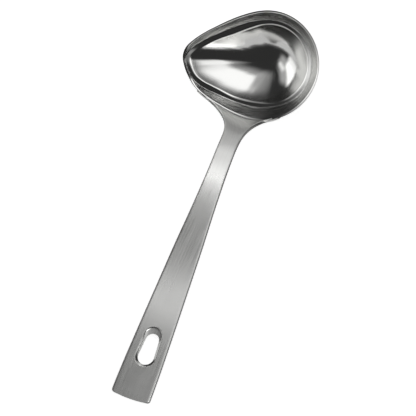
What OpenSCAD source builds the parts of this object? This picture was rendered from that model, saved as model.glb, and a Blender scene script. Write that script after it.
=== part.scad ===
// A stainless serving ladle with a side pouring spout, resting on its bowl and on the end of its handle.
// Three pieces: the pressed bowl, the stamped handle lapped under the rim, and the weld along the rim.
// X runs right seen from the handle, Y from the handle's end to the bowl, Z up. Zero is where the bowl rests.

/* [Which piece] */
// One piece by its name, or all of them

/* [Bowl] */
// Outside radius of the round part of the rim
bowl_r = 34.7; // [25:0.1:50]
// Radius of the ball that the cup's inside follows
cup_r = 27.2; // [20:0.1:40]
// Height of that ball's centre above the rim plane
cup_up = 1.2; // [0:0.1:4]
// Thickness of the pressed sheet
sheet_t = 1.2; // [0.8:0.1:2]
// Width of the rim's edge, seen from above
rim_w = 1.4; // [1:0.1:2.5]
// Rounding of the rim's edge
rim_round = 0.35; // [0.1:0.05:0.6]
// Tilt of the rim plane towards the handle, in degrees
rim_tilt = 36; // [10:1:50]
// Depth of the small flat that the bowl rests on
rest_flat = 0.25; // [0.1:0.05:0.5]

/* [Handle] */
// How far the handle's middle line lies left of the bowl's centre
handle_left = 6.4; // [0:0.1:15]
// Length of the straight part
straight_len = 163.4; // [100:1:220]
// Thickness of the bar
bar_t = 2.6; // [1.5:0.1:4]
// Half the width at the end
end_half_w = 12.3; // [8:0.1:20]
// Radius of the bend over the neck
neck_r = 46; // [25:1:80]
// Steepest fall of the neck, in degrees
neck_fall = 32; // [15:1:45]
// Straight run between the bend and the throat
throat_run = 5.5; // [2:0.1:15]
// Radius of the throat where the neck meets the rim
throat_r = 12; // [6:0.5:30]
// Fall of the neck where it goes under the rim, in degrees
throat_fall = 13; // [5:1:25]
// Length over which the neck flares into its two wings
flare_len = 50; // [25:1:70]
// How late the flare comes, as a power
flare_power = 7; // [2:0.5:8]
// Thickness at the tips of the wings
wing_t = 1.1; // [0.8:0.1:2]
// Thickness at the lap's inner end
lap_t = 1.5; // [0.8:0.1:3]
// Rounding of the bar's long edges
edge_round = 0.45; // [0.2:0.05:1]
// Rounding of the two corners at the end
corner_r = 1.6; // [0.5:0.1:5]
// How far the end's middle bows out
end_bow = 0.6; // [0:0.1:3]

/* [Hanging slot] */
// Distance from the end to the slot
slot_from_end = 21.2; // [10:0.1:40]
// Length of the slot
slot_len = 19.8; // [10:0.1:40]
// Width of the slot at its end nearer the bowl
slot_w_near = 8.7; // [4:0.1:14]
// Width of the slot at its end nearer the handle's end
slot_w_far = 10.2; // [4:0.1:14]
// Width of the dished edge round the slot
dish_w = 1.5; // [0.5:0.1:3]
// Depth of the dished edge
dish_t = 0.8; // [0.3:0.1:1.5]
// Extra length of the dish at the end nearer the bowl
dish_scoop = 2.6; // [0:0.1:5]

/* [Weld] */
// Clearance between the pieces that the weld fills
weld_gap = 0.03; // [0.02:0.01:0.2]
// How far the weld reaches out on the handle
weld_w = 1.3; // [0.8:0.1:3]
// How much the weld's face bulges
weld_crown = 0.12; // [0:0.02:0.4]

/* [Hidden] */

// Angle round the rim, then the radius of the rim, of the band's foot and of the ledge, then the depth of the
// band's foot and of the ledge, the last five as shares of bowl_r. The spout points to about 194 degrees.
outline_shares = [
    [0, 1, 0.813, 0.738, 0.202, 0.231],
    [65, 1, 0.813, 0.738, 0.202, 0.231],
    [100, 0.997, 0.816, 0.74, 0.202, 0.231],
    [118, 0.999, 0.836, 0.746, 0.202, 0.231],
    [132, 1.025, 0.876, 0.763, 0.202, 0.231],
    [146, 1.093, 0.942, 0.82, 0.2, 0.23],
    [158, 1.198, 1.052, 0.916, 0.186, 0.22],
    [168, 1.34, 1.196, 1.062, 0.16, 0.196],
    [176, 1.484, 1.35, 1.222, 0.134, 0.17],
    [183, 1.611, 1.499, 1.389, 0.09, 0.126],
    [189, 1.651, 1.582, 1.504, 0.04, 0.07],
    [196, 1.617, 1.55, 1.476, 0.016, 0.042],
    [203, 1.559, 1.492, 1.414, 0.022, 0.05],
    [209, 1.507, 1.418, 1.314, 0.058, 0.094],
    [215, 1.441, 1.323, 1.193, 0.112, 0.15],
    [223, 1.34, 1.186, 1.07, 0.165, 0.198],
    [235, 1.222, 1.043, 0.95, 0.195, 0.225],
    [250, 1.141, 0.931, 0.836, 0.202, 0.231],
    [267, 1.095, 0.862, 0.764, 0.202, 0.231],
    [285, 1.061, 0.821, 0.738, 0.202, 0.231],
    [298, 1.037, 0.813, 0.738, 0.202, 0.231],
    [320, 1.012, 0.813, 0.738, 0.202, 0.231],
    [345, 1, 0.813, 0.738, 0.202, 0.231],
    [360, 1, 0.813, 0.738, 0.202, 0.231]
];
// Distance from the handle's end as a share of its whole length, then half the width as a share of end_half_w
width_shares = [
    [0, 1], [0.1, 0.976], [0.25, 0.885], [0.35, 0.818], [0.5, 0.712], [0.6, 0.617], [0.68, 0.555], [0.76, 0.51],
    [0.85, 0.5], [1, 0.5]
];
// Where the wings end on the rim, in degrees
wing_left = 215;
wing_right = 298;
// Where the lap begins and ends under the rim, as shares of the band
lap_start_share = 0.08;
lap_end_share = 0.8;

// Smooth reading of column c of a table at x, level at both ends
function slope_at(t, k, c) =
    k == 0 || k == len(t) - 1 ? 0 : (t[k + 1][c] - t[k - 1][c]) / (t[k + 1][0] - t[k - 1][0]);
function row_of(t, x) = max([for (k = [0:len(t) - 2]) if (t[k][0] <= x) k]);
function read_at(t, x, c) =
    let (k = row_of(t, x), d = t[k + 1][0] - t[k][0], u = (x - t[k][0]) / d)
    t[k][c] * (2 * u * u * u - 3 * u * u + 1) + t[k + 1][c] * (3 * u * u - 2 * u * u * u)
    + d * slope_at(t, k, c) * (u * u * u - 2 * u * u + u) + d * slope_at(t, k + 1, c) * (u * u * u - u * u);
function mix(p, q, u) = p + (q - p) * u;
function unit(v) = v / norm(v);

// The rim plane: its centre, the way uphill to the far side, and the way out of the cup
uphill = [0, cos(rim_tilt), sin(rim_tilt)];
out_of_cup = [0, -sin(rim_tilt), cos(rim_tilt)];
ball_centre = [0, 0, cup_r + sheet_t - rest_flat];
rim_centre = ball_centre - cup_up * out_of_cup;
function place(a, p) =
    rim_centre + p[0] * cos(a) * [1, 0, 0] + p[0] * sin(a) * uphill + p[1] * out_of_cup;
function above_floor(p) = [p[0], p[1], max(p[2], 0)];

// Stations round the rim, closer where the outline is further out
station_len = bowl_r / 15;
stations = [for (k = [0:len(outline_shares) - 2])
    let (a = outline_shares[k][0], b = outline_shares[k + 1][0],
         n = ceil((b - a) * PI / 180 * outline_shares[k][1] * bowl_r / station_len))
    for (m = [0:n - 1]) a + (b - a) * m / n];

// Cross-section of the bowl at angle a, as radius and height over the rim plane
function rim_out(a) = bowl_r * read_at(outline_shares, a, 1);
function foot(a) = bowl_r * [read_at(outline_shares, a, 2), -read_at(outline_shares, a, 4)];
function ledge(a) = bowl_r * [read_at(outline_shares, a, 3), -read_at(outline_shares, a, 5)];
function ledge_off(a) = ledge(a) - [0, cup_up];
function touch_ang(a) =
    let (p = ledge_off(a)) atan2(-p[1], p[0]) + acos(min(1, cup_r / norm(p)));
function chute_len(a) = sqrt(max(0, pow(norm(ledge_off(a)), 2) - cup_r * cup_r));
function wall(a, u, t) =
    let (g = touch_ang(a), c = chute_len(a), whole = c + cup_r * (90 - g) * PI / 180, s = whole * u,
         h = s < c ? g : g + (s - c) / cup_r * 180 / PI,
         p = s < c ? ledge(a) - s * [sin(g), cos(g)] : [cup_r * cos(h), cup_up - cup_r * sin(h)])
    p + t * [cos(h), -sin(h)];
function out_normal(p, q) = unit([q[1] - p[1], p[0] - q[0]]);
function rim_in(a) = [rim_out(a) - rim_w, 0];
function band_normal(a) = out_normal(foot(a), rim_in(a));
function ledge_normal(a) = out_normal(ledge(a), foot(a));
function chute_normal(a) = let (g = touch_ang(a)) [cos(g), -sin(g)];
function miter(n, m) = (n + m) / (1 + n * m);
function foot_out(a) = foot(a) + sheet_t * miter(band_normal(a), ledge_normal(a));
function ledge_out(a) = ledge(a) + sheet_t * miter(ledge_normal(a), chute_normal(a));
function rim_low(a) = [rim_out(a) - rim_round / 6, -rim_round];
wall_n = 12;
soft_share = 0.14;
function section(a) = concat(
    [for (j = [wall_n - 1:-1:1]) wall(a, j / wall_n, 0)],
    [wall(a, 0.02, 0)],
    [mix(ledge(a), foot(a), soft_share), mix(ledge(a), foot(a), 1 - soft_share)],
    [mix(foot(a), rim_in(a), soft_share / 2), mix(foot(a), rim_in(a), 0.5)],
    [mix(foot(a), rim_in(a), 0.93), rim_in(a) + [rim_round, 0], [rim_out(a) - rim_round, 0], rim_low(a)],
    [mix(rim_low(a), foot_out(a), 0.5), foot_out(a), ledge_out(a)],
    [for (j = [1:wall_n - 1]) wall(a, j / wall_n, sheet_t)]
);

// Faces of a closed skin made of rings of n points, with one point at each end
function ring_faces(rings, n) = concat(
    [for (j = [0:rings - 2]) for (i = [0:n - 1])
        let (k = (i + 1) % n) for (f = [[j * n + i, j * n + k, (j + 1) * n + k],
                                        [j * n + i, (j + 1) * n + k, (j + 1) * n + i]]) f],
    [for (i = [0:n - 1]) [rings * n, (i + 1) % n, i]],
    [for (i = [0:n - 1]) [rings * n + 1, (rings - 1) * n + i, (rings - 1) * n + (i + 1) % n]]
);

module bowl() {
    sections = [for (a = stations) section(a)];
    rings = len(sections[0]);
    points = concat(
        [for (j = [0:rings - 1]) for (i = [0:len(stations) - 1])
            above_floor(place(stations[i], sections[i][j]))],
        [place(0, [0, cup_up - cup_r]), place(0, [0, cup_up - cup_r - sheet_t])]
    );
    color([0.82, 0.82, 0.8])
        polyhedron(points, ring_faces(rings, len(stations)), 10);
}

// The lap: the handle's end under the rim, laid on the band's outer face
wing_stations = [for (a = stations) if (a >= wing_left && a <= wing_right) a];
function on_band(a, u) = mix(rim_low(a), foot_out(a), u);
function lap_at(a, u) = place(a, on_band(a, u) + weld_gap * out_normal(foot_out(a), rim_low(a)));
handle_x = -handle_left;
lap_row = [for (a = wing_stations) lap_at(a, lap_start_share)];
function across(p) =
    p[0] < handle_x ? (p[0] - handle_x) / (handle_x - lap_row[0][0])
    : (p[0] - handle_x) / (lap_row[len(lap_row) - 1][0] - handle_x);
columns = [for (p = lap_row) across(p)];
// Where the middle line leaves the rim
neck_foot = let (k = max([for (i = [0:len(columns) - 1]) if (columns[i] <= 0) i]))
    mix(lap_row[k], lap_row[k + 1], -columns[k] / (columns[k + 1] - columns[k]));

// The middle line, measured from the rim outwards: throat, run, bend, straight
throat_end = throat_r * (neck_fall - throat_fall) * PI / 180;
run_end = throat_end + throat_run;
apex_z = neck_foot[2] + throat_r * (cos(throat_fall) - cos(neck_fall)) + throat_run * sin(neck_fall)
    + neck_r * (1 - cos(neck_fall));
lie_reach = norm([neck_r - bar_t, straight_len]);
lie = acos((neck_r - apex_z) / lie_reach) - atan2(straight_len, neck_r - bar_t);
bend_end = run_end + neck_r * (neck_fall + lie) * PI / 180;
handle_len = bend_end + straight_len;
function throat_at(q) =
    let (g = throat_fall + q / throat_r * 180 / PI)
    throat_r * [sin(g) - sin(throat_fall), cos(throat_fall) - cos(g)];
function run_at(q) = throat_at(throat_end) + (q - throat_end) * [cos(neck_fall), sin(neck_fall)];
function bend_at(q) =
    let (g = neck_fall - (q - run_end) / neck_r * 180 / PI)
    run_at(run_end) + neck_r * [sin(neck_fall) - sin(g), cos(g) - cos(neck_fall)];
function line_at(q) =
    q < throat_end ? throat_at(q)
    : q < run_end ? run_at(q)
    : q < bend_end ? bend_at(q)
    : bend_at(bend_end) + (q - bend_end) * [cos(lie), -sin(lie)];

// The bar's top face: straight rows across, bent into the rim's own line towards the bowl
function half_w(q) = end_half_w * read_at(width_shares, 1 - q / handle_len, 1);
function corner_in(q) =
    let (s = handle_len - q) s >= corner_r ? 0 : corner_r - sqrt(s * (2 * corner_r - s));
function bow_at(q, c) = end_bow * (1 - c * c) * max(0, 1 - (handle_len - q) / (8 * end_bow + corner_r));
function flare(q) = q >= flare_len ? 0 : pow(1 - q / flare_len, flare_power);
function straight_row(q, c) =
    let (p = line_at(q), w = half_w(q) - edge_round - corner_in(q))
    [handle_x + c * w, neck_foot[1] - p[0] - bow_at(q, c), neck_foot[2] + p[1]];
function top_at(q, i) = mix(straight_row(q, columns[i]), lap_row[i], flare(q));
row_n = 30;
lap_n = 3;
row_places = concat(
    [for (k = [0:row_n - 1]) (handle_len - corner_r) * pow(k / row_n, 1.8)],
    [for (g = [0:30:90]) handle_len - corner_r * (1 - sin(g))]
);
top_rows = concat(
    [for (k = [0:lap_n - 1]) [for (a = wing_stations)
        lap_at(a, mix(lap_end_share, lap_start_share, k / lap_n))]],
    [for (q = row_places) [for (i = [0:len(columns) - 1]) top_at(q, i)]]
);
function thick_at(j, i) =
    let (far = abs(columns[i]), f = j < lap_n ? 1 : flare(row_places[j - lap_n]),
         middle = j < lap_n ? mix(lap_t, bar_t, j / lap_n) : bar_t)
    mix(middle, min(middle, wing_t), f * pow(far, 3));
function skin_normal(j, i) =
    let (m = len(top_rows) - 1, n = len(columns) - 1,
         v = top_rows[min(j + 1, m)][i] - top_rows[max(j - 1, 0)][i],
         w = top_rows[j][min(i + 1, n)] - top_rows[j][max(i - 1, 0)])
    j >= m - 4 ? [0, sin(lie), cos(lie)] * -1 : unit(cross(v, w)) * -1;
function side_dir(j, i, k) =
    let (d = unit(top_rows[j][i] - top_rows[j][k])) d;
function loop_at(j) =
    let (n = len(columns) - 1,
         left_n = skin_normal(j, 0), right_n = skin_normal(j, n),
         left_d = side_dir(j, 0, 1), right_d = side_dir(j, n, n - 1))
    concat(
        [for (i = [0:n]) top_rows[j][i]],
        [top_rows[j][n] + edge_round * (right_d + right_n),
         top_rows[j][n] + edge_round * right_d + (thick_at(j, n) - edge_round) * right_n],
        [for (i = [n:-1:0]) top_rows[j][i] + thick_at(j, i) * skin_normal(j, i)],
        [top_rows[j][0] + edge_round * left_d + (thick_at(j, 0) - edge_round) * left_n,
         top_rows[j][0] + edge_round * (left_d + left_n)]
    );
// Faces of a skin made of closed loops of n points, both ends closed by strips between top and bottom
function loop_faces(loops, n) = concat(
    [for (j = [0:loops - 2]) for (i = [0:n - 1])
        let (k = (i + 1) % n) for (f = [[j * n + i, j * n + k, (j + 1) * n + k],
                                        [j * n + i, (j + 1) * n + k, (j + 1) * n + i]]) f],
    [for (j = [0, loops - 1]) for (i = [-1:n / 2 - 2])
        let (s = j * n, a = s + (i + n) % n, b = s + i + 1, c = s + n - 4 - i, d = s + (n - 3 - i) % n)
        for (f = j == 0 ? [[a, c, b], [a, d, c]] : [[a, b, c], [a, c, d]]) f]
);

module slot_cut(extra, extra_far, h_low, h_high) {
    slot_r_near = slot_w_near / 2;
    slot_r_far = slot_w_far / 2;
    hull() {
        translate([0, slot_from_end + slot_r_far, h_low])
            cylinder(h_high - h_low, slot_r_far, slot_r_far + extra, $fn = 44);
        translate([0, slot_from_end + slot_len - slot_r_near, h_low])
            cylinder(h_high - h_low, slot_r_near, slot_r_near + extra, $fn = 44);
        translate([0, slot_from_end + slot_len - slot_r_near + extra_far, h_high])
            cylinder(bar_t, slot_r_near + extra, slot_r_near + extra, $fn = 44);
    }
}

module handle() {
    loops = [for (j = [0:len(top_rows) - 1]) loop_at(j)];
    n = len(loops[0]);
    color([0.74, 0.74, 0.73])
        difference() {
            polyhedron([for (l = loops) for (p = l) p], loop_faces(len(loops), n), 10);
            translate([handle_x, neck_foot[1] - line_at(handle_len)[0], neck_foot[2] + line_at(handle_len)[1]])
                rotate([lie, 0, 0]) {
                    slot_cut(0, 0, -2 * bar_t, bar_t);
                    slot_cut(dish_w, dish_scoop, -dish_t, 0);
                }
        }
}

// The weld: a bead in the valley between the rim's edge and the handle's top
weld_row = [for (i = [0:len(columns) - 1]) top_at(weld_w, i)];
function weld_loop(i) =
    let (a = wing_stations[i], lift = -weld_gap * skin_normal(lap_n, i),
         low = lap_row[i] + lift, out = weld_row[i] + lift,
         high = place(a, rim_low(a) + [weld_gap, 0]))
    [low, out, mix(out, high, 0.5) - weld_crown * skin_normal(lap_n, i), high];

module weld_seam() {
    loops = [for (i = [0:len(columns) - 1]) weld_loop(i)];
    n = 4;
    m = len(loops);
    faces = concat(
        [for (j = [0:m - 2]) for (i = [0:n - 1])
            let (k = (i + 1) % n) for (f = [[j * n + i, (j + 1) * n + k, j * n + k],
                                            [j * n + i, (j + 1) * n + i, (j + 1) * n + k]]) f],
        [[0, 1, 2], [0, 2, 3]],
        [[m * n - 4, m * n - 2, m * n - 3], [m * n - 4, m * n - 1, m * n - 2]]
    );
    color([0.8, 0.8, 0.78])
        polyhedron([for (l = loops) for (p = l) p], faces, 10);
}

bowl();
handle();
weld_seam();
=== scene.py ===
import math
import bpy
from mathutils import Matrix, Vector


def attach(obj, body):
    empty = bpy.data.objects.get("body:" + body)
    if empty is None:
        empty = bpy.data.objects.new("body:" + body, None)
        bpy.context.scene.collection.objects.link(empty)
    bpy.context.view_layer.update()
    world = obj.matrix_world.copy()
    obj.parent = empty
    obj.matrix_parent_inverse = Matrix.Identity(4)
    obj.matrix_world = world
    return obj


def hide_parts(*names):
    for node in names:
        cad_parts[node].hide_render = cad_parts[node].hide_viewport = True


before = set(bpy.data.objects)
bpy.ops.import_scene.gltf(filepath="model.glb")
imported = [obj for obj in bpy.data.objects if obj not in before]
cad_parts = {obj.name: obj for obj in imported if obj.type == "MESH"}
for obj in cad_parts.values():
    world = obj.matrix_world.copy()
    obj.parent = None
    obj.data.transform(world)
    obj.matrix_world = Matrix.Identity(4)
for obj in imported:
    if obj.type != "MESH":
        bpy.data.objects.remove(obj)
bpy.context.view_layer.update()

mm = 0.001
brushUnit = 100     # mm in one unit of the brush map, the UV map that the steel finishes follow

cameraView = {
    "azimuth": 31.27,       # degrees, 0 looks along +Y
    "elevation": 64.09,
    "roll": -11.74,
    "distance": 725.85,     # mm from the point looked at
    "lookAt": (-4.06, -100.44, 10.0),
    "lens": 100,
    "sensor": 36,
    "clip": (0.01, 20),     # m
}


def makeCamera(view):
    a, e, r = (math.radians(view[k]) for k in ("azimuth", "elevation", "roll"))
    back = Vector((math.sin(a) * math.cos(e), -math.cos(a) * math.cos(e), math.sin(e)))
    flatRight = Vector((math.cos(a), math.sin(a), 0))
    flatUp = back.cross(flatRight)
    right = flatRight * math.cos(r) + flatUp * math.sin(r)
    up = flatUp * math.cos(r) - flatRight * math.sin(r)
    data = bpy.data.cameras.new("photoCamera")
    data.lens = view["lens"]
    data.sensor_width = view["sensor"]
    data.clip_start, data.clip_end = view["clip"]
    camera = bpy.data.objects.new("photoCamera", data)
    bpy.context.scene.collection.objects.link(camera)
    place = (Vector(view["lookAt"]) + back * view["distance"]) * mm
    camera.matrix_world = Matrix.Translation(place) @ Matrix((right, up, back)).transposed().to_4x4()
    bpy.context.scene.camera = camera


makeCamera(cameraView)
print("camera is in place")


def mix(p, q, t):
    return tuple(a + (b - a) * t for a, b in zip(p, q))


def slopeAt(rows, k, column):
    if k == 0 or k == len(rows) - 1:
        return 0
    return (rows[k + 1][column] - rows[k - 1][column]) / (rows[k + 1][0] - rows[k - 1][0])


def readAt(rows, x, column):
    # smooth reading of one column of a table, level at both ends
    k = max(i for i in range(len(rows) - 1) if rows[i][0] <= x)
    first, second = rows[k], rows[k + 1]
    step = second[0] - first[0]
    u = (x - first[0]) / step
    return (first[column] * (2 * u ** 3 - 3 * u ** 2 + 1) + second[column] * (3 * u ** 2 - 2 * u ** 3)
            + step * slopeAt(rows, k, column) * (u ** 3 - 2 * u ** 2 + u)
            + step * slopeAt(rows, k + 1, column) * (u ** 3 - u ** 2))


def unit2(v):
    size = math.hypot(v[0], v[1])
    return (v[0] / size, v[1] / size)


def addScaled(p, v, s):
    return tuple(a + b * s for a, b in zip(p, v))


cornerShare = 0.45      # a rounding takes at most this share of either side


def softCorner(before, corner, after, reach, steps):
    # points that round a corner between its two neighbours
    start = mix(corner, before, min(cornerShare, reach / math.dist(before, corner)))
    end = mix(corner, after, min(cornerShare, reach / math.dist(corner, after)))
    turns = [k / steps for k in range(steps + 1)]
    return [mix(mix(start, corner, t), mix(corner, end, t), t) for t in turns]


class Skin:
    # a piece's faces, each with its place in the brush map and the number of its finish
    def __init__(self):
        self.faces, self.uvs, self.finish = [], [], []

    def add(self, face, uv, finish=0):
        self.faces.append(face)
        self.uvs.append(uv)
        self.finish.append(finish)


def meshPiece(name, points, skin, finishes, sharpAngle):
    mesh = bpy.data.meshes.new(name)
    mesh.from_pydata([tuple(c * mm for c in p) for p in points], [], skin.faces)
    for material in finishes:
        mesh.materials.append(material)
    layer = mesh.uv_layers.new(name="brush")
    for poly in mesh.polygons:
        poly.use_smooth = True
        poly.material_index = skin.finish[poly.index]
        for corner, loop in enumerate(poly.loop_indices):
            layer.data[loop].uv = skin.uvs[poly.index][corner]
    mesh.validate()
    mesh.update()
    mesh.set_sharp_from_angle(angle=math.radians(sharpAngle))
    piece = bpy.data.objects.new(name, mesh)
    bpy.context.scene.collection.objects.link(piece)
    return piece


# all lengths of the pieces are in mm, angles in degrees
bowlForm = {
    "rimRadius": 34.7,
    "cupRadius": 27.2,
    "cupUp": 1.2,           # the ball's centre lies this far up out of the rim's plane
    "sheet": 1.2,
    "rimWidth": 1.4,
    "rimRound": 0.35,
    "rimLean": 6,           # the rim's lower edge lies in by rimRound over this
    "rimSoft": 0.62,
    "rimInside": 0.62,
    "rimSlope": 0.5,        # the rim's inner edge lies this far below its outer one
    "tilt": 36,
    "restFlat": 0.25,
    "insideDepth": 20.5,
    "ledgeRound": 1.1,
    "ledgeLevel": 0.45,     # share of the ledge's slope that its polished side keeps
    "footRound": 0.55,
    "underFootRound": 0.8,
    "underLedgeRound": 1.2,
    "flatTrim": 0.06,       # share of a flat that the next rounding takes
    "sharpAngle": 40,
    # how fine the mesh is
    "stationLength": 0.9,
    "wallSteps": 44,
    "wallStart": 0.012,     # share of the wall that the ledge's rounding takes
    "probe": 0.001,         # share of the wall over which its direction is read
    "ledgeSteps": 6,
    "footSteps": 5,
    "bandSteps": 9,
    "rimSteps": 6,
    "flankSteps": 6,
    "underFootSteps": 4,
    "underLedgeSteps": 5,
    "poleStep": 0.02,       # brush map left free at the two poles
    # angle round the rim, then rim, foot and ledge radius, then foot and ledge depth, as shares of rimRadius
    "outline": [
        [0, 1, 0.813, 0.738, 0.202, 0.231],
        [65, 1, 0.813, 0.738, 0.202, 0.231],
        [100, 0.997, 0.816, 0.74, 0.202, 0.231],
        [118, 0.999, 0.836, 0.746, 0.202, 0.231],
        [132, 1.025, 0.876, 0.763, 0.202, 0.231],
        [146, 1.093, 0.942, 0.82, 0.2, 0.23],
        [158, 1.198, 1.052, 0.916, 0.186, 0.22],
        [168, 1.34, 1.196, 1.062, 0.16, 0.196],
        [176, 1.484, 1.35, 1.222, 0.134, 0.17],
        [183, 1.611, 1.499, 1.389, 0.09, 0.126],
        [189, 1.651, 1.582, 1.504, 0.04, 0.07],
        [196, 1.617, 1.55, 1.476, 0.016, 0.042],
        [203, 1.559, 1.492, 1.414, 0.022, 0.05],
        [209, 1.507, 1.418, 1.314, 0.058, 0.094],
        [215, 1.441, 1.323, 1.193, 0.112, 0.15],
        [223, 1.34, 1.186, 1.07, 0.165, 0.198],
        [235, 1.222, 1.043, 0.95, 0.195, 0.225],
        [250, 1.141, 0.931, 0.836, 0.202, 0.231],
        [267, 1.095, 0.862, 0.764, 0.202, 0.231],
        [285, 1.061, 0.821, 0.738, 0.202, 0.231],
        [298, 1.037, 0.813, 0.738, 0.202, 0.231],
        [320, 1.012, 0.813, 0.738, 0.202, 0.231],
        [345, 1, 0.813, 0.738, 0.202, 0.231],
        [360, 1, 0.813, 0.738, 0.202, 0.231],
    ],
}
rimColumn, footColumn, ledgeColumn, footDepthColumn, ledgeDepthColumn = range(1, 6)

tilt = math.radians(bowlForm["tilt"])
uphill = Vector((0, math.cos(tilt), math.sin(tilt)))
outOfCup = Vector((0, -math.sin(tilt), math.cos(tilt)))
ballCentre = Vector((0, 0, bowlForm["cupRadius"] + bowlForm["sheet"] - bowlForm["restFlat"]))
rimCentre = ballCentre - outOfCup * bowlForm["cupUp"]


def placeOnRim(angle, p):
    # p is a point of the section there: how far out from the rim's centre and how far up
    a = math.radians(angle)
    aside = Vector((1, 0, 0)) * (p[0] * math.cos(a))
    return rimCentre + aside + uphill * (p[0] * math.sin(a)) + outOfCup * p[1]


def outlineAt(a, column):
    return bowlForm["rimRadius"] * readAt(bowlForm["outline"], a, column)


def rimOut(a):
    return outlineAt(a, rimColumn)


def bandFoot(a):
    return (outlineAt(a, footColumn), -outlineAt(a, footDepthColumn))


def ledgeEdge(a):
    return (outlineAt(a, ledgeColumn), -outlineAt(a, ledgeDepthColumn))


def innerEdge(a):
    # the polished inside of the ledge lies flatter than its underside
    foot, edge = bandFoot(a), ledgeEdge(a)
    return (edge[0], foot[1] + (edge[1] - foot[1]) * bowlForm["ledgeLevel"])


def wallLine(a, shares, thick):
    # from the ledge down the straight chute, then round the ball to the cup's bottom
    up, radius = bowlForm["cupUp"], bowlForm["cupRadius"]
    edge = ledgeEdge(a)
    off = (edge[0], edge[1] - up)
    far = math.hypot(*off)
    touch = math.atan2(-off[1], off[0]) + math.acos(min(1, radius / far))
    chute = math.sqrt(max(0, far * far - radius * radius))
    whole = chute + radius * (math.pi / 2 - touch)
    points = []
    for share in shares:
        s = whole * share
        if s < chute:
            h, p = touch, (edge[0] - s * math.sin(touch), edge[1] - s * math.cos(touch))
        else:
            h = touch + (s - chute) / radius
            p = (radius * math.cos(h), up - radius * math.sin(h))
        points.append((p[0] + thick * math.cos(h), p[1] - thick * math.sin(h)))
    return points


def innerWall(a, shares):
    # the polished inside: a parabola from the ledge to the bottom, shallower than the ball outside
    edge, depth = innerEdge(a), bowlForm["insideDepth"]
    return [(edge[0] * (1 - s), -depth + (depth + edge[1]) * (1 - s) ** 2) for s in shares]


def outNormal(p, q):
    return unit2((q[1] - p[1], p[0] - q[0]))


def miter(n, m):
    k = 1 + n[0] * m[0] + n[1] * m[1]
    return ((n[0] + m[0]) / k, (n[1] + m[1]) / k)


def outerCorners(a):
    # where the sheet's outside turns: at the band's foot and at the ledge's edge
    foot, edge, rimIn = bandFoot(a), ledgeEdge(a), (rimOut(a) - bowlForm["rimWidth"], 0)
    band, shelf = outNormal(foot, rimIn), outNormal(edge, foot)
    wallTop = wallLine(a, [0, bowlForm["probe"]], 0)
    chute = outNormal(wallTop[1], wallTop[0])
    footOut = addScaled(foot, miter(band, shelf), bowlForm["sheet"])
    edgeOut = addScaled(edge, miter(shelf, chute), bowlForm["sheet"])
    return footOut, edgeOut


def rimLow(a):
    return (rimOut(a) - bowlForm["rimRound"] / bowlForm["rimLean"], -bowlForm["rimRound"])


def flatLine(start, end, steps):
    # the points strictly between two ends
    return [mix(start, end, k / steps) for k in range(1, steps)]


def bowlSection(a):
    # one cut through the sheet, from the cup's bottom over the rim to the underside; the marks say where the
    # satin band, the rim and the underside begin
    form = bowlForm
    shares = [1 - k / form["wallSteps"] for k in range(1, form["wallSteps"])] + [form["wallStart"]]
    inner, outer = innerWall(a, shares), wallLine(a, shares[::-1], form["sheet"])
    foot, edge = bandFoot(a), innerEdge(a)
    rimIn = (rimOut(a) - form["rimWidth"], -min(form["rimSlope"], -foot[1] / 2))
    rimTop = (rimOut(a), 0)
    footOut, edgeOut = outerCorners(a)
    # polished cup and ledge; the rounding at the ledge takes the place of the cup's last two points
    line = inner[:-2]
    line += softCorner(inner[-3], edge, foot, form["ledgeRound"], form["ledgeSteps"])
    marks = [len(line)]
    # satin band
    line += softCorner(edge, foot, rimIn, form["footRound"], form["footSteps"])
    line += flatLine(line[-1], mix(rimIn, foot, form["flatTrim"]), form["bandSteps"])
    marks.append(len(line))
    # polished rim
    line += softCorner(foot, rimIn, rimTop, form["rimInside"], form["rimSteps"])
    line += softCorner(rimIn, rimTop, footOut, form["rimSoft"], form["rimSteps"])
    marks.append(len(line))
    # underside
    line += flatLine(line[-1], mix(footOut, rimTop, form["flatTrim"]), form["flankSteps"])
    line += softCorner(rimTop, footOut, edgeOut, form["underFootRound"], form["underFootSteps"])
    line += softCorner(footOut, edgeOut, outer[2], form["underLedgeRound"], form["underLedgeSteps"])
    line += outer[2:]
    return line, marks


def rimStations():
    # angles round the rim, closer together where the rim swings far out
    stations = []
    for row, after in zip(bowlForm["outline"], bowlForm["outline"][1:]):
        start, turn = row[0], after[0] - row[0]
        length = math.radians(turn) * row[rimColumn] * bowlForm["rimRadius"]
        count = math.ceil(length / bowlForm["stationLength"])
        stations += [start + turn * k / count for k in range(count)]
    return stations


def onTable(p):
    # the bowl is flat where it rests
    return (p.x, p.y, max(p.z, 0))


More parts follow.
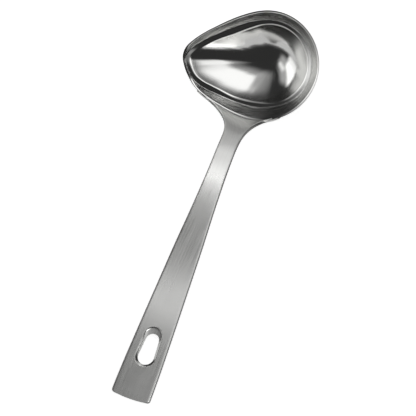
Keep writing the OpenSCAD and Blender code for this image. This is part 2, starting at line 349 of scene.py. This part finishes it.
def makeBowl(polished, satin, underside):
    form = bowlForm
    polishedIndex, satinIndex, undersideIndex = range(3)
    stations = rimStations()
    sections = [bowlSection(a) for a in stations]
    line, (bandStart, rimStart, underStart) = sections[0]
    rings, count = len(line), len(stations)
    points = [onTable(placeOnRim(a, section[0][j]))
              for j in range(rings) for a, section in zip(stations, sections)]
    points.append(onTable(placeOnRim(0, (0, -form["insideDepth"]))))
    points.append(onTable(placeOnRim(0, (0, form["cupUp"] - form["cupRadius"] - form["sheet"]))))
    around = [math.radians(a) * form["rimRadius"] / brushUnit for a in stations + [360]]
    down = [0]
    for p, q in zip(line, line[1:]):
        down.append(down[-1] + math.dist(p, q) / brushUnit)
    # the sheet in rings, then a fan inside and one outside that close the cup's bottom
    skin = Skin()
    last, innerPole, outerPole = (rings - 1) * count, rings * count, rings * count + 1
    for i in range(count):
        k = (i + 1) % count
        a, b = around[i], around[i + 1]
        for j in range(rings - 1):
            inside = j < bandStart or rimStart <= j < underStart
            skin.add((j * count + i, (j + 1) * count + i, (j + 1) * count + k, j * count + k),
                     ((a, down[j]), (a, down[j + 1]), (b, down[j + 1]), (b, down[j])),
                     polishedIndex if inside else satinIndex if j < rimStart else undersideIndex)
        skin.add((innerPole, i, k), (((a + b) / 2, -form["poleStep"]), (a, 0), (b, 0)), polishedIndex)
        skin.add((outerPole, last + k, last + i),
                 (((a + b) / 2, down[-1] + form["poleStep"]), (b, down[-1]), (a, down[-1])), undersideIndex)
    return meshPiece("bowlShell", points, skin, [polished, satin, underside], form["sharpAngle"])


handleForm = {
    "left": 6.4,            # the middle line lies this far left of the bowl's centre
    "straight": 163.4,      # length of the bar past its bend
    "thick": 2.6,
    "endHalfWidth": 12.3,
    "neckRadius": 46,
    "neckFall": 32,
    "throatRun": 5.5,
    "throatRadius": 12,
    "throatFall": 13,
    "flareLength": 50,
    "flarePower": 7,
    "wingThick": 1.1,
    "wingThinning": 3,      # power: the wings thin mostly near their edges
    "lapThick": 1.5,
    "edgeRound": 0.55,
    "bevelWidth": 0.7,
    "bevelLeast": 0.02,     # what is left of the bevel on the wings
    "bevelDrop": 0.08,
    "cornerRadius": 1.6,
    "endBow": 0.6,
    "endBowReach": 8,       # the bow fades over this many times endBow, and the corner
    "wingLeft": 215,        # angles round the rim where the wings end
    "wingRight": 298,
    "lapStart": 0.08,       # shares of the band's height that the lap covers
    "lapEnd": 0.8,
    "gap": 0.03,            # between the lap and the band
    "sharpAngle": 38,
    # how fine the mesh is
    "columns": 48,
    "lapSamples": 260,
    "lapRows": 5,
    "lapRowStep": 1.5,      # brush map only
    "firstRowStep": 0.35,
    "rowStepGrowth": 0.035,
    "mostRowGrowth": 2.2,
    "lastRowGap": 0.2,
    "cornerSteps": 8,
    "flatRows": 12,         # rows at the end that lie in the straight bar's plane
    "edgeSteps": 4,
    "edgeBrushStep": 0.4,   # brush map only
    "capBrushSize": 1,
    "cutAndShadedRight": 7,      # strips of faces up from the lower side in the cut edge's steel, whose darker colour is painted shade
    "cutAndShadedLeft": 5,
    # distance from the end as a share of the whole length, then half the width as a share of endHalfWidth
    "widths": [
        [0, 1], [0.1, 0.976], [0.25, 0.885], [0.35, 0.818], [0.5, 0.712],
        [0.6, 0.617], [0.68, 0.555], [0.76, 0.51], [0.85, 0.5], [1, 0.5],
    ],
}
slotForm = {
    "fromEnd": 21.2,
    "length": 19.8,
    "widthNear": 8.7,       # near the bowl
    "widthFar": 10.2,
    "dishWidth": 1.5,
    "dishDepth": 0.8,
    "scoop": 2.6,           # how much farther the dish runs at its end near the bowl
    "scoopBlend": 4,
    "wallDepths": [1.2, 1.8],
    "lowRound": 0.3,        # of the hole's lower edge
    "lowSoft": (0.1, 0.09),     # first step of that rounding, out and up
    # shares of the way from the plain rows to the dish, and back to them on the lower side
    "meet": [0.35, 0.7, 0.92],
    "leave": [0.4, 0.75],
    # shares of dishWidth out from the hole, and of dishDepth down; the scoop's own line is crisper
    "dish": [(1.0, 0.0), (0.93, 0.03), (0.8, 0.14), (0.55, 0.42),
             (0.3, 0.72), (0.12, 0.9), (0.03, 0.98), (0.0, 1.0)],
    "scoopDish": [(1.0, 0.0), (0.97, 0.3), (0.91, 0.58), (0.75, 0.76),
                  (0.5, 0.86), (0.25, 0.93), (0.08, 0.98), (0.0, 1.0)],
    # the plain faces that the slot's rings replace: rows between two distances from the end, and columns
    "clearFrom": 14.5,
    "clearTo": 51,
    "clearColumns": 5,
}


def lapPoint(a, share):
    low, footOut = rimLow(a), outerCorners(a)[0]
    return placeOnRim(a, addScaled(mix(low, footOut, share), outNormal(footOut, low), handleForm["gap"]))


def lapAngles():
    count, left, right = handleForm["lapSamples"], handleForm["wingLeft"], handleForm["wingRight"]
    return [left + (right - left) * k / count for k in range(count + 1)]


def lapLine(share, columns):
    # the lap's row under the rim, spread over the columns by how far left or right it lies
    angles, middle = lapAngles(), -handleForm["left"]
    start = [lapPoint(a, handleForm["lapStart"]) for a in angles]
    leftReach, rightReach = middle - start[0].x, start[-1].x - middle
    across = [(p.x - middle) / (leftReach if p.x < middle else rightReach) for p in start]
    row = []
    for c in columns:
        k = max([0] + [i for i in range(len(angles) - 1) if across[i] <= c])
        t = (c - across[k]) / (across[k + 1] - across[k])
        row.append(lapPoint(angles[k] + (angles[k + 1] - angles[k]) * min(max(t, 0), 1), share))
    return row


class MiddleLine:
    # the handle's middle line from the rim outwards: throat, run, bend, straight
    def __init__(self, form, foot):
        self.form, self.foot = form, foot
        fall, low = math.radians(form["neckFall"]), math.radians(form["throatFall"])
        self.fall, self.low = fall, low
        self.throatEnd = form["throatRadius"] * (fall - low)
        self.runEnd = self.throatEnd + form["throatRun"]
        apex = (foot.z + form["throatRadius"] * (math.cos(low) - math.cos(fall))
                + form["throatRun"] * math.sin(fall) + form["neckRadius"] * (1 - math.cos(fall)))
        lever = form["neckRadius"] - form["thick"]
        reach = math.hypot(lever, form["straight"])
        self.lie = math.acos((form["neckRadius"] - apex) / reach) - math.atan2(form["straight"], lever)
        self.bendEnd = self.runEnd + form["neckRadius"] * (fall + self.lie)
        self.length = self.bendEnd + form["straight"]

    def at(self, q):
        # how far out and up the line is at the distance q from the rim
        form = self.form
        g = self.low + min(q, self.throatEnd) / form["throatRadius"]
        out = form["throatRadius"] * (math.sin(g) - math.sin(self.low))
        up = form["throatRadius"] * (math.cos(self.low) - math.cos(g))
        if q > self.throatEnd:
            run = min(q, self.runEnd) - self.throatEnd
            out, up = out + run * math.cos(self.fall), up + run * math.sin(self.fall)
        if q > self.runEnd:
            g = self.fall - (min(q, self.bendEnd) - self.runEnd) / form["neckRadius"]
            out += form["neckRadius"] * (math.sin(self.fall) - math.sin(g))
            up += form["neckRadius"] * (math.cos(g) - math.cos(self.fall))
        if q > self.bendEnd:
            out += (q - self.bendEnd) * math.cos(self.lie)
            up -= (q - self.bendEnd) * math.sin(self.lie)
        return out, up


def flareShare(q):
    length = handleForm["flareLength"]
    return 0 if q >= length else (1 - q / length) ** handleForm["flarePower"]


def straightPoint(line, q, c, cut=0):
    # a point of the bar's upper face, as if it had no flare; c runs from -1 on the left to 1 on the right
    form = handleForm
    out, up = line.at(q)
    half = form["endHalfWidth"] * readAt(form["widths"], 1 - q / line.length, 1)
    flat = half - form["edgeRound"] - form["bevelWidth"] - cut
    fromEnd = (line.length - q) / (form["endBowReach"] * form["endBow"] + form["cornerRadius"])
    bow = form["endBow"] * (1 - c * c) * max(0, 1 - fromEnd)
    return Vector((-form["left"] + c * flat, line.foot.y - out - bow, line.foot.z + up))


class HandleBar:
    # the bar's upper face as rows of points, the lap under the rim first and then out to the end, with the ring
    # that goes round the bar at each row
    def __init__(self, form):
        self.form = form
        self.count = form["columns"]
        self.columns = [-1 + 2 * i / self.count for i in range(self.count + 1)]
        self.rim = lapLine(form["lapStart"], self.columns)
        self.line = MiddleLine(form, self.rim[self.count // 2])
        self.down = Vector((0, math.sin(self.line.lie), -math.cos(self.line.lie)))      # of the straight bar
        self.towardBowl = Vector((0, math.cos(self.line.lie), math.sin(self.line.lie)))
        self.end = straightPoint(self.line, self.line.length, 0) + Vector((0, form["endBow"], 0))
        self.lapCount = form["lapRows"]
        lapRise = form["lapStart"] - form["lapEnd"]
        self.rows = [lapLine(form["lapEnd"] + lapRise * k / self.lapCount, self.columns)
                     for k in range(self.lapCount)]
        self.away = [-form["lapRowStep"] * (self.lapCount - k) for k in range(self.lapCount)]
        self.flare = [1] * self.lapCount
        for q, cut in self.freeRows():
            flare = flareShare(q)
            self.rows.append([straightPoint(self.line, q, c, cut).lerp(self.rim[i], flare)
                              for i, c in enumerate(self.columns)])
            self.away.append(q)
            self.flare.append(flare)
        self.arcCount = 2 * form["edgeSteps"] + 1           # points of an edge, its bevel's too
        self.lowFirst = self.count + 1 + self.arcCount      # where the lower side starts and ends in a ring
        self.lowLast = self.lowFirst + self.count
        self.ringCount = self.lowLast + 1 + self.arcCount

    def freeRows(self):
        # distance of each row from the rim, and what the round corners of the end cut off its width
        form, length = self.form, self.line.length
        radius, rows, q = form["cornerRadius"], [], 0.0
        while q < length - radius - form["lastRowGap"]:
            rows.append((q, 0))
            q += form["firstRowStep"] + min(form["mostRowGrowth"], q * form["rowStepGrowth"])
        for step in range(form["cornerSteps"] + 1):
            turn = math.radians(90 * step / form["cornerSteps"])
            rows.append((length - radius * (1 - math.sin(turn)), radius * (1 - math.cos(turn))))
        return rows

    def thickAt(self, j, i):
        form, middle = self.form, self.form["thick"]
        if j < self.lapCount:
            middle = form["lapThick"] + (form["thick"] - form["lapThick"]) * (j / self.lapCount)
        thinning = self.flare[j] * abs(self.columns[i]) ** form["wingThinning"]
        return middle + (min(middle, form["wingThick"]) - middle) * thinning

    def downAt(self, j, i):
        rows, last = self.rows, len(self.rows) - 1
        if j > last - self.form["flatRows"]:
            return self.down
        along = rows[min(j + 1, last)][i] - rows[max(j - 1, 0)][i]
        across = rows[j][min(i + 1, self.count)] - rows[j][max(i - 1, 0)]
        return -along.cross(across).normalized()

    def edgeArc(self, out, down, thick, wide):
        # the bevel's lower end, then the edge round to the lower side
        form = self.form
        drop = form["bevelDrop"] * wide / form["bevelWidth"]
        soft, low = form["edgeRound"], min(form["edgeRound"], (thick - drop) / 2)
        turns = [math.radians(90 * k / form["edgeSteps"]) for k in range(1, form["edgeSteps"] + 1)]
        arc = [out * wide + down * drop]
        arc += [out * (wide + soft * math.sin(a)) + down * (drop + low * (1 - math.cos(a))) for a in turns]
        arc += [out * (wide + soft * math.sin(a)) + down * (thick - low * (1 - math.cos(a)))
                for a in turns[::-1]]
        return arc

    def ring(self, j):
        # upper face, right edge, lower side and left edge, and how far round the bar each point lies
        form, row, n = self.form, self.rows[j], self.count
        downs = [self.downAt(j, i) for i in range(n + 1)]
        thick = [self.thickAt(j, i) for i in range(n + 1)]
        wide = max(form["bevelLeast"], form["bevelWidth"] * (1 - self.flare[j]))
        right = self.edgeArc((row[n] - row[n - 1]).normalized(), downs[n], thick[n], wide)
        left = self.edgeArc((row[0] - row[1]).normalized(), downs[0], thick[0], wide)
        ring = row + [row[n] + p for p in right]
        ring += [row[i] + downs[i] * thick[i] for i in range(n, -1, -1)]
        ring += [row[0] + p for p in left[::-1]]
        around = [(p - row[0]).length for p in row]
        edge = [form["edgeBrushStep"]] * (self.arcCount + 1)
        lower = [(row[max(i, 1)] - row[max(i, 1) - 1]).length for i in range(n - 1, -1, -1)]
        for step in edge + lower + edge:
            around.append(around[-1] + step)
        return ring, [x / brushUnit for x in around]


def slotWindow(bar):
    # first and last row, then first and last column, of the plain faces that the slot's rings replace
    fromEnd = [bar.line.length - q for q in bar.away]
    rows = [j for j, s in enumerate(fromEnd) if slotForm["clearFrom"] < s < slotForm["clearTo"]]
    return rows[0], rows[-1], slotForm["clearColumns"], bar.count - slotForm["clearColumns"]


def slotRings(bar, border):
    # rings of points from the border round the slot on the upper face, through the hole, to the one below
    slot, thick = slotForm, handleForm["thick"]
    nearRadius, farRadius = slot["widthNear"] / 2, slot["widthFar"] / 2
    far, near = slot["fromEnd"] + farRadius, slot["fromEnd"] + slot["length"] - nearRadius
    spots = [(p, p.x, (p - bar.end).dot(bar.towardBowl)) for p in border]

    def outline(x, s, grow, scoop, depth):
        # the nearest point of the slot's outline, grown and lowered
        reach = near + scoop
        t = min(max((s - far) / (reach - far), 0), 1)
        middle, radius = far + (reach - far) * t, farRadius + (nearRadius - farRadius) * t + grow
        aside, beyond = x + handleForm["left"], s - middle
        away = math.hypot(aside, beyond)
        return (bar.end + bar.towardBowl * (middle + beyond / away * radius)
                + Vector((aside / away * radius, 0, 0)) + bar.down * depth)

    def dishEdge(x, s):
        return outline(x, s, slot["dishWidth"], slot["scoop"], 0)

    def dishPoint(x, s, dishStep, scoopStep):
        share, drop = mix(dishStep, scoopStep, min(1, max(0, (s - near) / slot["scoopBlend"])))
        return outline(x, s, 0, 0, 0).lerp(dishEdge(x, s), share) + bar.down * (slot["dishDepth"] * drop)

    walls = [(0, depth) for depth in slot["wallDepths"]] + [(0, thick - slot["lowRound"])]
    walls += [(slot["lowSoft"][0], thick - slot["lowSoft"][1]), (slot["lowRound"], thick)]
    rings = [[p.lerp(dishEdge(x, s), share) for p, x, s in spots] for share in slot["meet"]]
    rings += [[dishPoint(x, s, *steps) for p, x, s in spots]
              for steps in zip(slot["dish"], slot["scoopDish"])]
    rings += [[outline(x, s, grow, 0, depth) for p, x, s in spots] for grow, depth in walls]
    rings += [[outline(x, s, slot["lowRound"], 0, thick).lerp(p + bar.down * thick, share)
               for p, x, s in spots] for share in slot["leave"]]
    return rings


brushedIndex, cutAndShadedIndex = range(2)


def coverBar(bar, skin, arounds):
    # the plain faces from ring to ring, but for the slot's window
    m = bar.ringCount
    j0, j1, i0, i1 = slotWindow(bar)
    right, left = bar.lowFirst - handleForm["cutAndShadedRight"], bar.lowLast + handleForm["cutAndShadedLeft"]
    for j in range(len(arounds) - 1):
        (ua, ub), (va, vb) = arounds[j:j + 2], (bar.away[j] / brushUnit, bar.away[j + 1] / brushUnit)
        for i in range(m):
            if j0 <= j < j1 and (i0 <= i < i1 or i0 <= bar.lowLast - 1 - i < i1):
                continue
            k = (i + 1) % m
            # the lower half of each edge gets the cut edge's steel, darkened as painted shade
            cutAndShaded = j >= bar.lapCount and (right <= i < bar.lowFirst or bar.lowLast <= i < left)
            skin.add((j * m + i, j * m + k, (j + 1) * m + k, (j + 1) * m + i),
                     ((ua[i], va), (ua[i + 1], va), (ub[i + 1], vb), (ub[i], vb)),
                     cutAndShadedIndex if cutAndShaded else brushedIndex)


def closeEnds(bar, skin):
    # strips between the upper face and the lower side, and one face at each edge
    m, size = bar.ringCount, handleForm["capBrushSize"] / brushUnit
    square = ((0, 0), (size, 0), (size, size), (0, size))
    for j, finish in ((0, brushedIndex), (len(bar.rows) - 1, cutAndShadedIndex)):
        s = j * m
        strips = [(s + i, s + i + 1, s + bar.lowLast - 1 - i, s + bar.lowLast - i) for i in range(bar.count)]
        sides = [tuple(s + (corner + x) % m for x in range(bar.arcCount + 2))
                 for corner in (bar.count, bar.lowLast)]
        for cap in strips + sides:
            uv = square if len(cap) == 4 else tuple((size * x / len(cap), 0) for x in range(len(cap)))
            skin.add(cap if j == 0 else cap[::-1], uv, finish)


def lineSlot(bar, skin, points):
    # the dish, the hole's wall and the lower edge, in rings between the two borders
    m = bar.ringCount
    j0, j1, i0, i1 = slotWindow(bar)
    border = ([(j0, i) for i in range(i0, i1)] + [(j, i1) for j in range(j0, j1)]
              + [(j1, i) for i in range(i1, i0, -1)] + [(j, i0) for j in range(j1, j0, -1)])
    h = len(border)
    rings = [[j * m + i for j, i in border]]
    for ring in slotRings(bar, [bar.rows[j][i] for j, i in border]):
        rings.append(list(range(len(points), len(points) + h)))
        points += ring
    rings.append([j * m + bar.lowLast - i for j, i in border])

    def brushPlace(p):
        return ((p.x - bar.rows[j0][0].x) / brushUnit,
                (bar.line.length - (p - bar.end).dot(bar.towardBowl)) / brushUnit)

    for a, b in zip(rings, rings[1:]):
        for x in range(h):
            y = (x + 1) % h
            quad = (a[x], b[x], b[y], a[y])
            skin.add(quad, tuple(brushPlace(points[v]) for v in quad), brushedIndex)


def makeHandle(bar, brushed, cutAndShaded):
    wraps = [bar.ring(j) for j in range(len(bar.rows))]
    points = [p for ring, around in wraps for p in ring]
    skin = Skin()
    coverBar(bar, skin, [around for ring, around in wraps])
    closeEnds(bar, skin)
    lineSlot(bar, skin, points)
    return meshPiece("handleBar", points, skin, [brushed, cutAndShaded], handleForm["sharpAngle"])


weldForm = {
    "reach": 1.3,
    "crown": 0.16,
    "lift": 0.03,           # above the steel on both sides
    "steps": 6,
    "sharpAngle": 50,
    "brushStep": 0.02,      # brush map only
    "capBrushStep": 0.001,
}


def makeWeld(bar, finish):
    form, rim = weldForm, bar.rim
    angles = lapAngles()
    start = [lapPoint(a, handleForm["lapStart"]) for a in angles]
    shares = [k / form["steps"] for k in range(1, form["steps"])]
    rows = []
    for i, c in enumerate(bar.columns):
        a = angles[min(range(len(angles)), key=lambda k: (start[k] - rim[i]).length)]
        out = straightPoint(bar.line, form["reach"], c).lerp(rim[i], flareShare(form["reach"]))
        side = (rim[min(i + 1, bar.count)] - rim[max(i - 1, 0)]).normalized()
        lift = side.cross(out - rim[i]).normalized()
        if lift.z < 0:
            lift = -lift
        low, out = rim[i] + lift * form["lift"], out + lift * form["lift"]
        high = placeOnRim(a, addScaled(rimLow(a), (1, 0), form["lift"]))
        bead = [out.lerp(high, t) + lift * (form["crown"] * math.sin(math.pi * t)) for t in shares]
        rows.append([low, out] + bead + [high])
    m, step = len(rows[0]), form["brushStep"]
    skin = Skin()
    for j in range(len(rows) - 1):
        for i in range(m):
            k, u, v = (i + 1) % m, j * step, i * step
            skin.add((j * m + i, j * m + k, (j + 1) * m + k, (j + 1) * m + i),
                     ((u, v), (u, v + step), (u + step, v + step), (u + step, v)))
    last, capPlace = (len(rows) - 1) * m, tuple((form["capBrushStep"] * i, 0) for i in range(m))
    skin.add(tuple(range(m - 1, -1, -1)), capPlace)
    skin.add(tuple(last + i for i in range(m)), capPlace)
    return meshPiece("weldBead", [p for row in rows for p in row], skin, [finish], form["sharpAngle"])


# steel finishes: the grain and waves are counted in one unit of the brush map, bump heights are in m
steelLooks = {
    "polishedSteel": {
        "tone": (0.83, 0.83, 0.815), "rough": 0.1, "roughSpread": 0.04, "anisotropic": 0.25,
        "grain": (30, 260), "turn": 0, "toneSpread": 0.03, "bump": 0.00001, "wave": 0.00004,
    },
    "satinBand": {
        "tone": (0.76, 0.76, 0.745), "rough": 0.18, "roughSpread": 0.12, "anisotropic": 0.4,
        "grain": (5, 70), "turn": 9, "crossTurn": -26, "toneSpread": 0.35, "bump": 0.0003, "wave": 0,
    },
    "outerWall": {
        "tone": (0.8, 0.8, 0.785), "rough": 0.16, "roughSpread": 0.06, "anisotropic": 0.4,
        "grain": (10, 220), "turn": 0, "toneSpread": 0.05, "bump": 0.00002, "wave": 0.00003,
    },
    "brushedHandle": {
        "tone": (0.54, 0.54, 0.53), "rough": 0.24, "roughSpread": 0.06, "anisotropic": 0.75,
        "grain": (110, 2.5), "turn": 0, "toneSpread": 0.2, "bump": 0.00001, "wave": 0,
        # ground by hand near the bowl: rougher and less brushed between two distances from the rim in mm, and
        # brighter between two others: a painted highlight, the colour lightened on the throat where the lamps
        # light it too little
        "neck": {"from": 34, "to": 60, "rough": 0.44, "anisotropic": 0.2, "brightFrom": 12, "brightTo": 30,
                 "bright": 1.6},
    },
    # the cut edge: rougher steel, its dark tone painted shade on the handle's lower edges and end
    "cutEdgeAndPaintedShade": {
        "tone": (0.3, 0.3, 0.293), "rough": 0.32, "roughSpread": 0.1, "anisotropic": 0,
        "grain": (60, 60), "turn": 0, "toneSpread": 0.2, "bump": 0.00003, "wave": 0,
    },
    "weldSteel": {
        "tone": (0.76, 0.76, 0.745), "rough": 0.22, "roughSpread": 0.08, "anisotropic": 0,
        "grain": (40, 40), "turn": 0, "toneSpread": 0.08, "bump": 0.00004, "wave": 0,
    },
}
# what all finishes share: the part of the noise that shows, soft clouds over the lines, and the sheet's waves
grainLook = {
    "detail": 4,
    "noiseRough": 0.62,
    "low": 0.3,
    "high": 0.7,
    "cloudScale": 6,
    "cloudDetail": 2,
    "cloudShare": 0.3,
    "shadeLow": 0.35,
    "shadeHigh": 0.95,
    "waveScale": 7,
    "waveDetail": 1,
}


class NodeDesk:
    # short ways to add and join shader nodes
    def __init__(self, tree):
        self.tree = tree

    def add(self, kind, **values):
        node = self.tree.nodes.new(kind)
        for key, value in values.items():
            setattr(node, key, value)
        return node

    def put(self, socket, value):
        if hasattr(value, "links"):
            self.tree.links.new(value, socket)
        else:
            socket.default_value = value

    def math(self, operation, *values):
        node = self.add("ShaderNodeMath", operation=operation)
        for k, value in enumerate(values):
            self.put(node.inputs[k], value)
        return node.outputs[0]

    def spread(self, value, low, high, outLow, outHigh, smooth=False):
        node = self.add("ShaderNodeMapRange", interpolation_type="SMOOTHSTEP" if smooth else "LINEAR")
        for k, v in enumerate((value, low, high, outLow, outHigh)):
            self.put(node.inputs[k], v)
        return node.outputs[0]


def scratches(desk, across, along, turn, detail):
    # fine lines in the brush map, turned by some degrees
    mapping = desk.add("ShaderNodeMapping")
    desk.put(mapping.inputs["Vector"], desk.add("ShaderNodeUVMap", uv_map="brush").outputs[0])
    mapping.inputs["Rotation"].default_value = (0, 0, math.radians(turn))
    mapping.inputs["Scale"].default_value = (across, along, 1)
    noise = desk.add("ShaderNodeTexNoise")
    desk.put(noise.inputs["Vector"], mapping.outputs[0])
    noise.inputs["Scale"].default_value = 1
    noise.inputs["Detail"].default_value = detail
    noise.inputs["Roughness"].default_value = grainLook["noiseRough"]
    return noise.outputs[0]


def steel(name):
    look, grain = steelLooks[name], grainLook
    material = bpy.data.materials.new(name)
    material.use_nodes = True
    desk = NodeDesk(material.node_tree)
    shader = material.node_tree.nodes["Principled BSDF"]
    shader.inputs["Metallic"].default_value = 1
    shader.inputs["Anisotropic"].default_value = look["anisotropic"]
    tangent = desk.add("ShaderNodeTangent", direction_type="UV_MAP", uv_map="brush")
    desk.put(shader.inputs["Tangent"], tangent.outputs[0])

    across, along = look["grain"]
    lines = scratches(desk, across, along, look["turn"], grain["detail"])
    if "crossTurn" in look:
        crossed = scratches(desk, across, along, look["crossTurn"], grain["detail"])
        lines = desk.math("MAXIMUM", lines, crossed)
    clouds = scratches(desk, grain["cloudScale"], grain["cloudScale"], 0, grain["cloudDetail"])
    half, quarter = look["roughSpread"] / 2, look["roughSpread"] / 4
    low, high = grain["low"], grain["high"]
    rough = desk.math("ADD", desk.spread(lines, low, high, look["rough"] - half, look["rough"] + half),
                      desk.spread(clouds, low, high, -quarter, quarter))
    shade = desk.spread(desk.math("ADD", lines, desk.math("MULTIPLY", clouds, grain["cloudShare"])),
                        grain["shadeLow"], grain["shadeHigh"], 1 - look["toneSpread"], 1)
    if "neck" in look:
        neck = look["neck"]
        place = desk.add("ShaderNodeSeparateXYZ")
        desk.put(place.inputs[0], desk.add("ShaderNodeUVMap", uv_map="brush").outputs[0])
        away = place.outputs["Y"]
        near = desk.spread(away, neck["from"] / brushUnit, neck["to"] / brushUnit, 1, 0, True)
        rough = desk.math("ADD", rough, desk.math("MULTIPLY", near, neck["rough"] - look["rough"]))
        stretch = desk.spread(near, 0, 1, look["anisotropic"], neck["anisotropic"])
        desk.put(shader.inputs["Anisotropic"], stretch)
        # painted highlight: the handle's colour is lightened near the throat
        brightFrom, brightTo = neck["brightFrom"] / brushUnit, neck["brightTo"] / brushUnit
        paintedHighlight = desk.spread(away, brightFrom, brightTo, neck["bright"], 1, True)
        shade = desk.math("MULTIPLY", shade, paintedHighlight)
    desk.put(shader.inputs["Roughness"], rough)
    tint = desk.add("ShaderNodeVectorMath", operation="SCALE")
    tint.inputs[0].default_value = look["tone"]
    desk.put(tint.inputs["Scale"], shade)
    desk.put(shader.inputs["Base Color"], tint.outputs[0])

    bump = desk.add("ShaderNodeBump")
    bump.inputs["Strength"].default_value = 1
    bump.inputs["Distance"].default_value = 1
    height = desk.math("MULTIPLY", lines, look["bump"])
    if look["wave"]:
        waves = scratches(desk, grain["waveScale"], grain["waveScale"], 0, grain["waveDetail"])
        height = desk.math("ADD", height, desk.math("MULTIPLY", waves, look["wave"]))
    desk.put(bump.inputs["Height"], height)
    desk.put(shader.inputs["Normal"], bump.outputs[0])
    return material


bowl = makeBowl(steel("polishedSteel"), steel("satinBand"), steel("outerWall"))
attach(bowl, "root")
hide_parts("bowl")
print("bowl is built,", len(bowl.data.polygons), "faces")

bar = HandleBar(handleForm)
handle = makeHandle(bar, steel("brushedHandle"), steel("cutEdgeAndPaintedShade"))
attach(handle, "root")
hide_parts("handle")
print("handle is built,", len(handle.data.polygons), "faces")

weld = makeWeld(bar, steel("weldSteel"))
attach(weld, "root")
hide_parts("weld_seam")
print("weld is built,", len(weld.data.polygons), "faces")

# the studio's large softboxes and their glow, far away: the corners as seen from the ladle (azimuth from +Y
# towards +X, elevation), the soft edge in degrees and how bright each is
studioBoxes = {
    "keyBox": {"corners": [(-174, 84.3), (111.5, 54.7), (80.5, 47.6), (-23.5, 55.9)], "edge": 4, "level": 0.75},
    "keyGlow": {"corners": [(-130, 69), (130, 60), (76.3, 46), (-31, 49)], "edge": 10, "level": 0.4},
    "sideBox": {"corners": [(-132, 2), (-122, 28), (-72, 28), (-84, 2)], "edge": 5, "level": 1.0},
    "rearBox": {"corners": [(-146, 31), (-142, 42), (-112, 42), (-116, 31)], "edge": 5, "level": 0.5},
    "northBox": {"corners": [(-3, 14), (-1, 30), (28, 31), (30, 14)], "edge": 4, "level": 1.1},
    "sideGlow": {"corners": [(-150, 14), (-146, 44), (-78, 46), (-78, 10)], "edge": 8, "level": 0.4},
}
# how bright the dark studio is above the horizon and below it, and how softly one turns into the other
studioRoom = {"dark": 0.03, "fill": 0.35, "horizon": 0.1}
# strips low over the handle, in mm; they light the handle alone, the bowl mirrors the large boxes only
handleStrips = {
    "throatStrip": {"at": (-128, 340, 500), "aim": (-128, 340, 0), "size": (180, 280), "level": 1.3},
    "upperStrip": {"at": (-128, 122, 500), "aim": (-128, 122, 0), "size": (180, 140), "level": 4.4},
    "lowerStrip": {"at": (-128, -92, 500), "aim": (-128, -92, 0), "size": (180, 50), "level": 1.3},
    "neckStrip": {"at": (-121, 343, 320), "aim": (-6, -34, 12), "size": (220, 150), "level": 1.3},
    "sideStrip": {"at": (290, -330, 420), "aim": (0, 0, 0), "size": (260, 260), "level": 5},
}


def makeStudio():
    world = bpy.data.worlds.new("studio")
    bpy.context.scene.world = world
    world.use_nodes = True
    desk = NodeDesk(world.node_tree)
    direction = desk.add("ShaderNodeTexCoord").outputs["Generated"]

    def along(axis):
        node = desk.add("ShaderNodeVectorMath", operation="DOT_PRODUCT")
        desk.put(node.inputs[0], direction)
        node.inputs[1].default_value = axis
        return node.outputs["Value"]

    def toward(place):
        a, e = (math.radians(v) for v in place)
        return Vector((math.sin(a) * math.cos(e), math.cos(a) * math.cos(e), math.sin(e)))

    def boxLight(corners, edge, level):
        # lit where the direction lies inside all four side planes
        spots = [toward(corner) for corner in corners]
        middle = sum(spots, Vector())
        soft = math.sin(math.radians(edge))
        light = None
        for p, q in zip(spots, spots[1:] + spots[:1]):
            side = p.cross(q).normalized()
            inside = desk.spread(along(side if side.dot(middle) > 0 else -side), -soft, soft, 0, 1, True)
            light = desk.math("MULTIPLY", inside, level if light is None else light)
        return light

    room = studioRoom
    total = desk.spread(along((0, 0, 1)), -room["horizon"], room["horizon"], room["fill"], room["dark"])
    for box in studioBoxes.values():
        total = desk.math("ADD", total, boxLight(**box))
    background = world.node_tree.nodes["Background"]
    desk.put(background.inputs["Color"], total)
    background.inputs["Strength"].default_value = 1


def makeStrips(receiver):
    lit = bpy.data.collections.new("handleOnly")
    lit.objects.link(receiver)
    for name, strip in handleStrips.items():
        data = bpy.data.lights.new(name, "AREA")
        data.shape = "RECTANGLE"
        data.size, data.size_y = (v * mm for v in strip["size"])
        data.energy = strip["level"] * math.pi * data.size * data.size_y
        lamp = bpy.data.objects.new(name, data)
        lamp.location = Vector(strip["at"]) * mm
        lamp.rotation_euler = (Vector(strip["aim"]) * mm - lamp.location).to_track_quat("-Z", "Y").to_euler()
        lamp.light_linking.receiver_collection = lit
        bpy.context.scene.collection.objects.link(lamp)


makeStudio()
makeStrips(handle)
print("studio light is set")

floorLook = {
    "half": 3,              # m
    "drop": 0.0001,
    "tone": 0.9,
    "rough": 0.9,
    "specular": 0.1,
    "lift": 0.8,            # added for the camera, so that the paper is white
    "mirrored": 0.4,        # share of that lift that shiny steel sees
}


def makeFloor():
    # pale paper, with the ladle's soft shadow
    look = floorLook
    half, low, tone, lift = look["half"], -look["drop"], look["tone"], look["lift"]
    mesh = bpy.data.meshes.new("floor")
    mesh.from_pydata([(-half, -half, low), (half, -half, low), (half, half, low), (-half, half, low)], [],
                     [(0, 1, 2, 3)])
    floor = bpy.data.objects.new("floor", mesh)
    bpy.context.scene.collection.objects.link(floor)
    material = bpy.data.materials.new("paleFloor")
    material.use_nodes = True
    desk = NodeDesk(material.node_tree)
    shader = material.node_tree.nodes["Principled BSDF"]
    shader.inputs["Base Color"].default_value = (tone, tone, tone, 1)
    shader.inputs["Roughness"].default_value = look["rough"]
    shader.inputs["Specular IOR Level"].default_value = look["specular"]
    path = desk.add("ShaderNodeLightPath")
    seen = desk.math("MAXIMUM", path.outputs["Is Camera Ray"],
                     desk.math("MULTIPLY", path.outputs["Is Glossy Ray"], look["mirrored"]))
    desk.put(shader.inputs["Emission Strength"], seen)
    shader.inputs["Emission Color"].default_value = (lift, lift, lift, 1)
    mesh.materials.append(material)


makeFloor()
print("floor is laid")

bpy.context.scene.view_settings.view_transform = "Standard"
